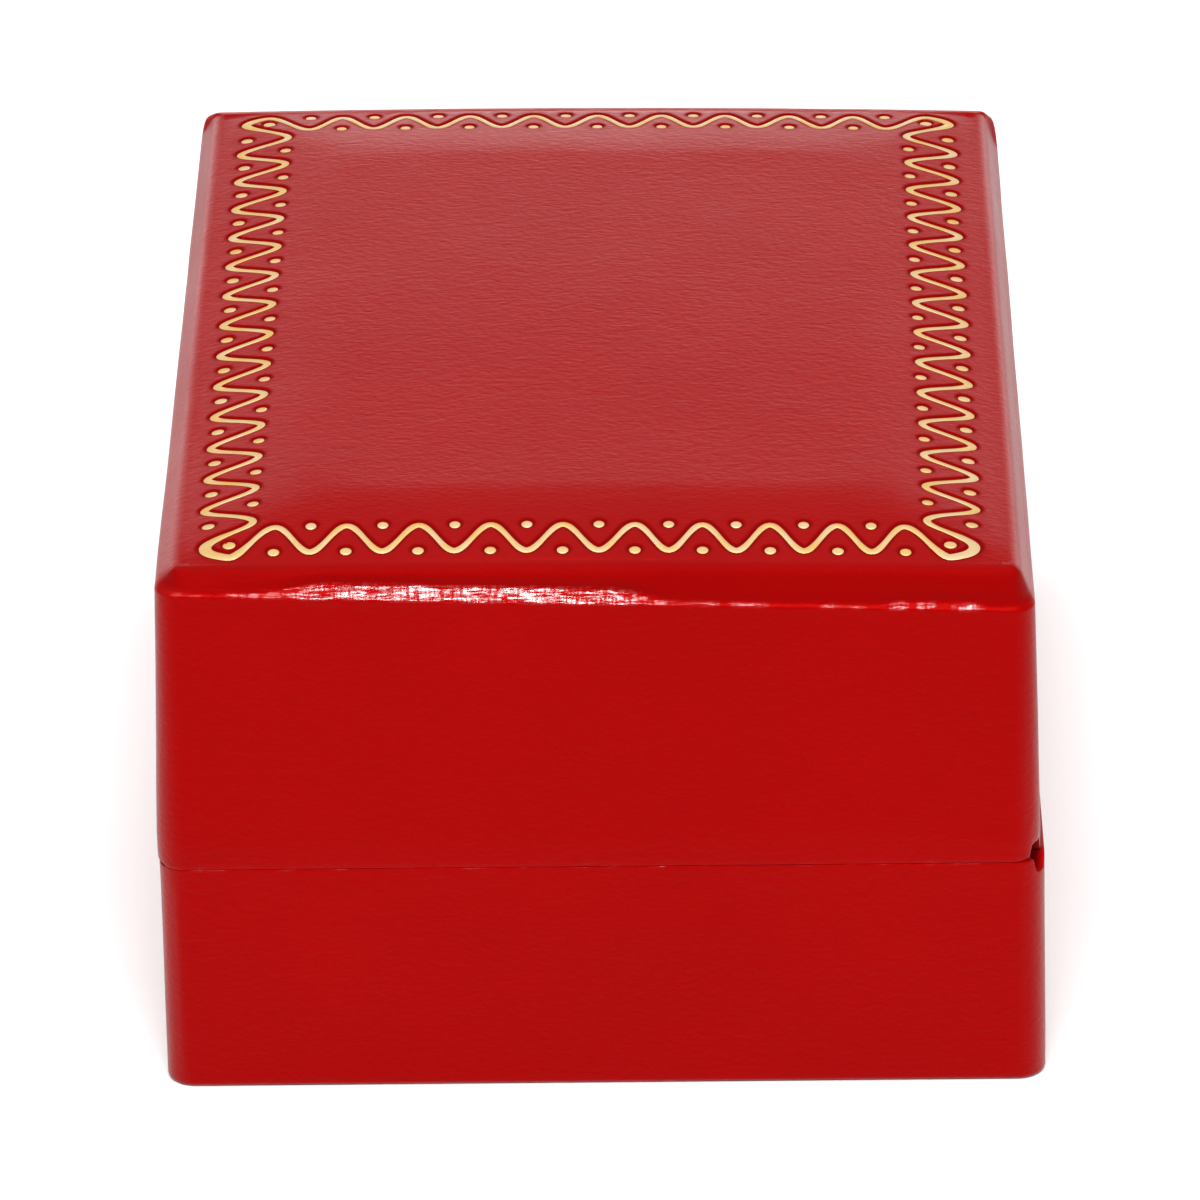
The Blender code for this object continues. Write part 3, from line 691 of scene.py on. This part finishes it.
def crowned_pad(name, corners, height, edge, crown, reach, pitch, turn, origin, ripple, material, body):
    """Closed pad with round shoulders and a crowned face. turn: its along, across and outward directions."""
    outline, facing = rounded_outline(corners, pitch)
    shoulder = height - crown - edge
    section = [(0.7 * edge, 0.0), (0.2 * edge, 0.12 * edge), (0.0, 0.5 * edge)]
    section += [(0.0, 0.5 * edge + (shoulder - 0.5 * edge) * t) for t in (0.35, 0.7, 1.0)]
    section += [(edge * (1 - math.cos(math.radians(a))), shoulder + edge * math.sin(math.radians(a)))
                for a in (12, 24, 36, 48, 59, 69)]
    count = len(outline)
    rows = [np.column_stack([outline - facing * inset, np.full(count, up)]) for inset, up in section]
    faces = []
    for level in range(len(rows) - 1):
        faces += quads(level * count, (level + 1) * count, count)
    ring, last_in, last_up = rows[-1][:, :2], section[-1][0], section[-1][1]
    tree = plan_tree(outline)

    def from_edge(x, y):
        _, index, gap = tree.find((x, y, 0.0))
        off = np.array((x, y)) - outline[index]
        return -gap if float(off @ facing[index]) > 0 else gap

    low, high = outline.min(0), outline.max(0)
    inner = []
    for j, y in enumerate(np.arange(low[1], high[1], pitch * 0.87)):
        for x in np.arange(low[0] + (j % 2) * pitch / 2, high[0], pitch):
            if from_edge(x, y) > last_in + 0.55 * pitch:
                inner.append((x, y))
    flat = [Vector(p) for p in ring] + [Vector(p) for p in inner]
    loop = [(i, (i + 1) % count) for i in range(count)]
    verts, _, top_faces, sources, _, _ = delaunay_2d_cdt(flat, loop, [], 1, 1e-7, True)
    index_of, more = {}, []
    start = count * len(rows)
    for index, found in enumerate(sources):
        if found and found[0] < count:
            index_of[index] = start - count + found[0]
            continue
        x, y = verts[index]
        gap = max(from_edge(x, y) - last_in, 0.0)
        index_of[index] = start + len(more)
        more.append((x, y, last_up + (height - last_up) * (1 - math.exp(-gap / reach))))
    faces += [tuple(index_of[i] for i in face) for face in top_faces]
    faces.append(tuple(range(count))[::-1])
    points = np.concatenate(rows + [np.array(more)])
    gaps = np.array([from_edge(x, y) for x, y in points[:, :2]])
    points = points + ripple(points, gaps, smooth(points[:, 2], 0.4 * height, height - crown))
    turn = np.array(turn, float).T
    if np.linalg.det(turn) < 0:
        faces = [face[::-1] for face in faces]
    return make_mesh(name, points @ turn.T + np.array(origin), faces, material, body)


def mesh_points(piece):
    points = np.empty(len(piece.data.vertices) * 3)
    piece.data.vertices.foreach_get("co", points)
    return points.reshape(-1, 3) / MM


def set_points(piece, points):
    piece.data.vertices.foreach_set("co", (points * MM).ravel())
    piece.data.update()


def eased(values, start, room):
    """Values past start are drawn in so that none passes start + room."""
    over = np.maximum(values - start, 0.0)
    return np.where(over > 0, start + room * (1 - np.exp(-over / room)), values)


def settle(piece, loose, pressure, swell, cap, frames=20, scale=20.0):
    """Cloth simulation of a piece at a larger scale: its points, and how far each one moves, at most cap.

    loose is 1 where a point is free and 0 where it is held.
    """
    mesh = piece.data
    start = np.empty(len(mesh.vertices) * 3)
    mesh.vertices.foreach_get("co", start)
    mesh.vertices.foreach_set("co", start * scale)
    held = piece.vertex_groups.new(name="held")
    for index in np.nonzero(loose < 0.999)[0]:
        held.add([int(index)], 1 - float(loose[index]), "REPLACE")
    cloth = piece.modifiers.new("settle", "CLOTH")
    settings = cloth.settings
    settings.vertex_group_mass = "held"
    settings.quality, settings.mass = 5, 0.15
    settings.tension_stiffness = settings.compression_stiffness = 14.0
    settings.shear_stiffness, settings.bending_stiffness = 5.0, 0.25
    settings.use_pressure, settings.uniform_pressure_force = True, pressure
    settings.shrink_min = -swell
    settings.effector_weights.gravity = 0.0
    cloth.collision_settings.use_collision = False
    cloth.point_cache.frame_start, cloth.point_cache.frame_end = 1, frames
    for frame_number in range(1, frames + 1):
        bpy.context.scene.frame_set(frame_number)
    evaluated = piece.evaluated_get(bpy.context.evaluated_depsgraph_get())
    moved = np.empty(len(start))
    evaluated.data.vertices.foreach_get("co", moved)
    piece.modifiers.remove(cloth)
    piece.vertex_groups.remove(held)
    shift = (moved / scale - start).reshape(-1, 3) / MM
    length = np.linalg.norm(shift, axis=1)
    shift *= (np.minimum(length, cap) / np.maximum(length, 1e-9))[:, None]
    bpy.context.scene.frame_set(1)
    return start.reshape(-1, 3) / MM, shift


def velvet_ripple(seed):
    """Lie of the velvet: low swells and a fine unevenness over the face."""
    def ripple(points, gaps, share):
        broad = hills(points, 11.0, 2, seed)
        fine = hills(points, 2.6, 3, seed + 1)
        rise = share * (0.22 * broad + 0.05 * fine) - 0.12 * share
        # the cloth is drawn down at the outer walls, in shallow pleats
        pleats = hills(points * np.array((1.0, 1.0, 0.15)), 2.0, 2, seed + 2)
        pleats = pleats * np.exp(-np.clip(gaps, 0, None) / 1.2)
        rise = rise - 0.16 * np.clip(pleats, 0, None) * share
        return np.column_stack([0 * rise, 0 * rise, rise])
    return ripple


def satin_ripple(half_x, half_y, seed, depth):
    """Gathers that run in from each of the four edges, where the satin is turned under."""
    def ripple(points, _, share):
        x, y = points[:, 0], points[:, 1]
        rise = 0.10 * depth * hills(points, 9.0, 2, seed) * share
        edges = ((x, half_y - y), (x, half_y + y), (y, half_x - x), (y, half_x + x))
        for index, (along, away) in enumerate(edges):
            lane = np.column_stack([along + 0.12 * away, np.full(len(x), 31.0 * index), 0.16 * away])
            wave = hills(lane, 1.15, 2, seed + 3)
            length = 3.4 + 2.4 * hills(lane * np.array((1.0, 1.0, 0.0)), 2.3, 1, seed + 5)
            fade = np.exp(-np.clip(away, 0, None) / np.clip(length, 1.2, None))
            rise = rise - depth * np.clip(0.25 + wave, 0, 1.2) * fade * share
        return np.column_stack([0 * rise, 0 * rise, rise])
    return ripple


def build_ring_pads(material):
    """Both halves of the ring pad. Each has a recess in its near edge, and the two recesses make the slot."""
    for part, inward, seed in (("front", 1, 20.0), ("rear", -1, 27.0)):
        low, high = node_box("ring_pad_velvet_" + part)
        slot_y = SLOT_LOW[1] if part == "front" else SLOT_HIGH[1]
        near = high[1] if part == "front" else low[1]
        far = low[1] if part == "front" else high[1]
        slot_x = SLOT_HIGH[0] + 0.3
        slot_y -= 0.2 * inward
        left, right = low[0] + 0.1, high[0] - 0.1
        corners = [(left, far, 2.2), (right, far, 2.2), (right, near, 0.9), (slot_x, near, 1.15),
                   (slot_x, slot_y, 0.9), (-slot_x, slot_y, 0.9), (-slot_x, near, 1.15), (left, near, 0.9)]
        if part == "rear":
            corners = corners[::-1]
        tall = high[2] - low[2]
        pad = crowned_pad("ring_pad_" + part, corners, tall - 0.35, 1.35, 0.55, 3.0, 0.75, np.eye(3),
                          (0, 0, low[2]), velvet_ripple(seed), material, None)
        points = mesh_points(pad)
        x, y, z = points.T
        to_slot = np.maximum(np.abs(x) - slot_x, np.abs(y - (near + slot_y) / 2) - abs(near - slot_y) / 2)
        rim = np.minimum.reduce([x - low[0], high[0] - x, y - low[1], high[1] - y])
        loose = smooth(z - low[2], tall - 3.2, tall - 2.0) * smooth(np.minimum(rim, to_slot), 0.3, 1.3)
        points, shift = settle(pad, loose, 3.0, 0.035, 0.6)
        points = points + shift
        points[:, 2] = eased(points[:, 2], high[2] - 0.5, 0.5)
        set_points(pad, points)
        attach(pad, "base")
        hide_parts("ring_pad_velvet_" + part, "ring_pad_foam_" + part)


def build_lid_pad(material):
    """Satin pad inside the lid, puffed face down."""
    low, high = node_box("lid_satin_pad")
    half_x, half_y = high[0] - 0.05, high[1] - 0.05
    corners = [(u * half_x, v * half_y, 1.6) for u, v in ((-1, -1), (1, -1), (1, 1), (-1, 1))]
    tall = high[2] - low[2]
    pad = crowned_pad("lid_pad", corners, tall - 0.9, 1.3, 0.5, 6.0, 0.62, ((1, 0, 0), (0, 1, 0), (0, 0, -1)),
                      (0, 0, high[2]), satin_ripple(half_x, half_y, 40.0, 0.25), material, None)
    points = mesh_points(pad)
    away = np.minimum(half_x - np.abs(points[:, 0]), half_y - np.abs(points[:, 1]))
    loose = smooth(high[2] - points[:, 2], tall - 2.9, tall - 2.3) * smooth(away, 0.3, 1.2)
    points, shift = settle(pad, loose, 6.0, 0.10, 2.2)
    points = points + shift
    # the puffed face is eased back so that it ends at the space the foam pad fills
    points[:, 2] = high[2] - eased(high[2] - points[:, 2], tall - 1.4, 1.4)
    set_points(pad, points)
    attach(pad, "lid")
    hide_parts("lid_satin_pad", "lid_foam")


def build_linings(material):
    """Satin-covered strips round the inside of the lid. Their ripple is set in code, with no simulation."""
    for part in ("front", "rear", "left", "right"):
        low, high = (np.array(corner) for corner in node_box("lid_lining_" + part))
        middle, size = (low + high) / 2, (high - low) / 2
        across = 1 if part in ("front", "rear") else 0
        inward = -math.copysign(1.0, middle[across])
        half_u, half_v = size[1 - across], size[2]
        along, out = np.zeros(3), np.zeros(3)
        along[1 - across], out[across] = 1.0, inward
        corners = [(u * half_u, v * half_v, 0.4) for u, v in ((-1, -1), (1, -1), (1, 1), (-1, 1))]
        origin = middle.copy()
        origin[across] -= inward * size[across]
        ripple = satin_ripple(half_u, half_v, 60.0 + 7 * len(part), 0.13)
        strip = crowned_pad("lid_lining_" + part + "_satin", corners, 2 * size[across], 0.3, 0.14, 1.6, 0.6,
                            (along, (0, 0, 1), out), origin, ripple, material, "lid")
        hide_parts("lid_lining_" + part)


# Materials


class Graph:
    """Small helper that builds one node material."""

    def __init__(self, name):
        self.material = bpy.data.materials.new(name)
        self.material.use_nodes = True
        self.tree = self.material.node_tree
        self.tree.nodes.clear()
        self.out = self.add("ShaderNodeOutputMaterial")
        self.shader = self.add("ShaderNodeBsdfPrincipled")
        self.link(self.shader.outputs["BSDF"], self.out.inputs["Surface"])
        self.place = self.add("ShaderNodeTexCoord").outputs["Object"]

    def add(self, kind, **settings):
        node = self.tree.nodes.new(kind)
        for key, value in settings.items():
            setattr(node, key, value)
        return node

    def link(self, start, end):
        self.tree.links.new(start, end)

    def put(self, socket, value):
        if isinstance(value, bpy.types.NodeSocket):
            self.link(value, socket)
        else:
            socket.default_value = value

    def fill(self, node, **values):
        for key, value in values.items():
            node.inputs[key.replace("_", " ")].default_value = value

    def stretched(self, scale):
        node = self.add("ShaderNodeMapping")
        self.link(self.place, node.inputs["Vector"])
        self.fill(node, Scale=scale)
        return node.outputs["Vector"]

    def noise(self, vector, scale, detail=4.0, rough=0.55, distortion=0.0):
        node = self.add("ShaderNodeTexNoise")
        self.link(vector, node.inputs["Vector"])
        self.fill(node, Scale=scale, Detail=detail, Roughness=rough, Distortion=distortion)
        return node.outputs["Fac"]

    def cells(self, vector, scale, smoothness):
        node = self.add("ShaderNodeTexVoronoi", feature="SMOOTH_F1")
        self.link(vector, node.inputs["Vector"])
        self.fill(node, Scale=scale, Smoothness=smoothness)
        return node.outputs["Distance"]

    def math(self, operation, a, b=0.0, clamp=False):
        node = self.add("ShaderNodeMath", operation=operation, use_clamp=clamp)
        self.put(node.inputs[0], a)
        self.put(node.inputs[1], b)
        return node.outputs[0]

    def ramp(self, value, low, high, to_low=0.0, to_high=1.0):
        node = self.add("ShaderNodeMapRange")
        self.put(node.inputs["Value"], value)
        self.fill(node, From_Min=low, From_Max=high, To_Min=to_low, To_Max=to_high)
        return node.outputs["Result"]

    def mix(self, share, a, b):
        node = self.add("ShaderNodeMix", data_type="RGBA")
        self.put(node.inputs[0], share)
        self.put(node.inputs[6], a)
        self.put(node.inputs[7], b)
        return node.outputs[2]

    def bump(self, height, distance, strength):
        node = self.add("ShaderNodeBump")
        self.fill(node, Strength=strength, Distance=distance)
        self.link(height, node.inputs["Height"])
        return node.outputs["Normal"]

    def finish(self, colour, rough, normal=None, **fixed):
        self.put(self.shader.inputs["Base Color"], colour)
        self.put(self.shader.inputs["Roughness"], rough)
        if normal is not None:
            self.link(normal, self.shader.inputs["Normal"])
        self.fill(self.shader, **fixed)
        return self.material


def leatherette():
    """Red coated paper with a fine drawn-out grain, and painted shade round the stamped foil, on the front
    fillet, in the notch and in the creases.
    """
    g = Graph("red_leatherette_skin")
    along = g.stretched((1.0, 1.7, 1.7))
    grain = g.noise(along, 2600.0, 5.0, 0.6, 0.4)
    pebble = g.cells(along, 1900.0, 0.6)
    creases = g.noise(g.stretched((1.0, 2.6, 2.6)), 620.0, 6.0, 0.62, 1.2)
    broad = g.noise(g.place, 90.0, 3.0, 0.5)
    flecks = g.ramp(g.noise(along, 1500.0, 3.0, 0.7), 0.66, 0.74)
    painted_shade = g.add("ShaderNodeAttribute", attribute_name="painted_shade").outputs["Fac"]
    tone = g.mix(g.ramp(broad, 0.3, 0.7), (0.266, 0.0005, 0.0005, 1), (0.250, 0.0004, 0.0004, 1))
    # painted shade in the deepest valleys of the creases
    tone = g.mix(g.ramp(creases, 0.30, 0.42, 0.22, 0.0), tone, (0.17, 0.0005, 0.0008, 1))
    tone = g.mix(g.math("MULTIPLY", flecks, 0.35), tone, (0.10, 0.0005, 0.003, 1))
    # painted shade from the attribute: the groove's shadow, the front fillet and the notch's hollow; the same
    # mask raises the roughness
    tone = g.mix(g.math("MULTIPLY", painted_shade, 0.62, clamp=True), tone, (0.075, 0.0004, 0.0004, 1))
    uneven = g.math("ADD", g.math("MULTIPLY", grain, 0.6), g.math("MULTIPLY", broad, 0.4))
    rough = g.ramp(uneven, 0.3, 0.7, 0.32, 0.42)
    rough = g.math("ADD", rough, g.math("MULTIPLY", painted_shade, 0.6), clamp=True)
    # a glossy coat, broken into streaks, where the cover is stretched over an edge and rubbed
    polish = g.add("ShaderNodeAttribute", attribute_name="polish").outputs["Fac"]
    pulled = g.noise(g.stretched((0.55, 4.6, 4.6)), 1300.0, 5.0, 0.7)
    hatch = g.noise(g.stretched((5.0, 1.0, 1.0)), 1000.0, 3.0, 0.6)
    streaks = g.math("MULTIPLY", g.ramp(pulled, 0.45, 0.55), g.ramp(hatch, 0.40, 0.56, 0.12, 1.0))
    g.link(g.math("MULTIPLY", polish, streaks), g.shader.inputs["Coat Weight"])
    g.link(g.bump(pulled, 0.00003, 0.6), g.shader.inputs["Coat Normal"])
    relief = g.math("ADD", g.math("MULTIPLY", grain, 0.35), g.math("MULTIPLY", creases, 0.8))
    height = g.math("ADD", g.math("MULTIPLY", pebble, 0.35), relief)
    return g.finish(tone, rough, g.bump(height, 0.00007, 0.5), Specular_IOR_Level=0.42,
                    Specular_Tint=(1.0, 0.02, 0.02, 1), Coat_Roughness=0.10, Coat_IOR=1.9)


def gold_foil():
    g = Graph("gold_foil")
    patch = g.noise(g.place, 420.0, 3.0, 0.5)
    fine = g.noise(g.place, 3800.0, 3.0, 0.6)
    tone = g.mix(g.ramp(patch, 0.35, 0.65), (0.72, 0.52, 0.28, 1), (0.72, 0.44, 0.13, 1))
    tone = g.mix(g.ramp(fine, 0.60, 0.75, 0.0, 0.35), tone, (0.42, 0.20, 0.07, 1))
    return g.finish(tone, g.ramp(fine, 0.3, 0.7, 0.30, 0.46), g.bump(fine, 0.00002, 0.5), Metallic=0.35)


def plain_finish(name, colour_a, colour_b, scale, rough, bump):
    """Two colours mottled together, with a fine bump, for the parts inside."""
    g = Graph(name)
    mottled = g.noise(g.place, scale, 5.0, 0.6)
    fine = g.noise(g.place, scale * 6, 4.0, 0.6)
    tone = g.mix(g.ramp(mottled, 0.3, 0.7), (*colour_a, 1), (*colour_b, 1))
    height = g.math("ADD", mottled, g.math("MULTIPLY", fine, 0.5))
    return g.finish(tone, g.ramp(fine, 0.3, 0.7, rough[0], rough[1]), g.bump(height, bump, 0.6))


def velvet():
    g = Graph("black_velvet_pile")
    lay = g.noise(g.place, 160.0, 3.0, 0.5, 0.8)
    pile = g.noise(g.place, 5200.0, 4.0, 0.7)
    tone = g.mix(g.ramp(lay, 0.35, 0.65), (0.003, 0.003, 0.004, 1), (0.011, 0.011, 0.013, 1))
    return g.finish(tone, g.ramp(pile, 0.3, 0.7, 0.85, 1.0), g.bump(pile, 0.00012, 0.8), Sheen_Weight=0.42,
                    Sheen_Roughness=0.30, Sheen_Tint=(0.50, 0.50, 0.56, 1), Specular_IOR_Level=0.15)


def satin():
    g = Graph("white_satin_weave")
    threads = g.stretched((2.2, 1.0, 1.0))
    weave = g.noise(threads, 5200.0, 2.0, 0.5)
    lay = g.noise(g.place, 120.0, 2.0, 0.5)
    tone = g.mix(g.ramp(lay, 0.3, 0.7), (0.60, 0.585, 0.545, 1), (0.54, 0.522, 0.48, 1))
    return g.finish(tone, g.ramp(weave, 0.3, 0.7, 0.26, 0.42), g.bump(weave, 0.00003, 0.6), Sheen_Weight=0.25,
                    Specular_IOR_Level=0.6)


def brushed_steel():
    g = Graph("hinge_steel_rolled")
    drawn = g.noise(g.stretched((1.0, 30.0, 30.0)), 900.0, 3.0, 0.6)
    wear = g.noise(g.place, 500.0, 4.0, 0.6)
    tone = g.mix(g.ramp(wear, 0.4, 0.7), (0.63, 0.63, 0.65, 1), (0.47, 0.46, 0.46, 1))
    return g.finish(tone, g.ramp(drawn, 0.3, 0.7, 0.24, 0.42), g.bump(drawn, 0.00002, 0.5), Metallic=1.0)


RED = leatherette()
GOLD = gold_foil()
VELVET = velvet()
SATIN = satin()
STEEL = brushed_steel()
SHELL = plain_finish("moulded_shell_grain", (0.075, 0.012, 0.012), (0.10, 0.016, 0.016), 700.0,
                     (0.45, 0.6), 0.00004)
BOARD = plain_finish("greyboard_fibres", (0.36, 0.33, 0.28), (0.28, 0.26, 0.22), 900.0,
                     (0.85, 0.95), 0.00008)

# CAD nodes that stay in view
FINISH_OF = {"base_shell": SHELL, "insert_board": BOARD, "lid_board": BOARD, "base_bottom_panel": RED}
for node in frame["nodes"]:
    name = node if isinstance(node, str) else node["name"]
    if name.startswith("hinge_"):
        FINISH_OF[name] = STEEL
for name, material in FINISH_OF.items():
    data = bpy.data.objects[name].data
    data.materials.clear()
    data.materials.append(material)

build_lid_skin(RED)
build_shell_core(SHELL)
build_foil(GOLD)
build_base_skin(RED)
build_ring_pads(VELVET)
build_lid_pad(SATIN)
build_linings(SATIN)


# Room, lights and camera


def build_floor():
    """Plain pale floor, a hair under the box so that the two don't flicker together."""
    size = 1.6
    g = Graph("studio_floor")
    rough = g.ramp(g.noise(g.place, 30.0), 0.3, 0.7, 0.6, 0.7)
    material = g.finish((0.93, 0.93, 0.93, 1), rough, Specular_IOR_Level=0.1)
    mesh = bpy.data.meshes.new("studio_floor")
    corners = [(x * size, y * size, 0) for x, y in ((-1, -1), (1, -1), (1, 1), (-1, 1))]
    mesh.from_pydata(corners, [], [(0, 1, 2, 3)])
    mesh.materials.append(material)
    floor = add_object("studio_floor", mesh)
    floor.location.z = -0.00002


def area_light(name, place, aim, size, watts):
    data = bpy.data.lights.new(name, "AREA")
    data.shape, data.size, data.size_y = "RECTANGLE", size[0], size[1]
    data.energy = watts
    light = add_object(name, data)
    light.location = place
    light.rotation_euler = (Vector(aim) - Vector(place)).to_track_quat("-Z", "Y").to_euler()
    light.visible_camera = False


build_floor()
world = bpy.data.worlds.new("studio")
world.use_nodes = True
background = world.node_tree.nodes["Background"]
background.inputs["Color"].default_value = (1, 1, 1, 1)
background.inputs["Strength"].default_value = 0.30
bpy.context.scene.world = world
area_light("overhead", (0.0, 0.0, 1.1), (0, 0, 0), (0.9, 0.9), 6.5)
area_light("front_key", (0.0, -0.62, 0.86), (0, 0, 0.015), (0.6, 0.2), 11.0)
area_light("front_fill", (0.0, -1.1, 0.45), (0, 0, 0.015), (1.2, 0.5), 1.5)
area_light("rear_panel", (0.0, 1.0, 0.10), (0, 0, 0.03), (1.4, 0.20), 2.7)
bpy.context.scene.view_settings.view_transform = "Standard"

# The camera stands in front and above, turned very slightly
camera_data = bpy.data.cameras.new("camera")
camera_data.sensor_width, camera_data.lens = 36.0, 270.16
camera_data.clip_start, camera_data.clip_end = 0.02, 20.0
camera = add_object("camera", camera_data)
right = Vector((0.9999056, 0.00441967, -0.01300978))
up = Vector((0.00952443, 0.45949624, 0.88812865))
back = Vector((0.00990318, -0.88816872, 0.45941077))
camera.matrix_world = Matrix.Translation(Vector((5.68, -514.885, 282.116)) * MM) @ Matrix(
    (right, up, back)).transposed().to_4x4()
bpy.context.scene.camera = camera
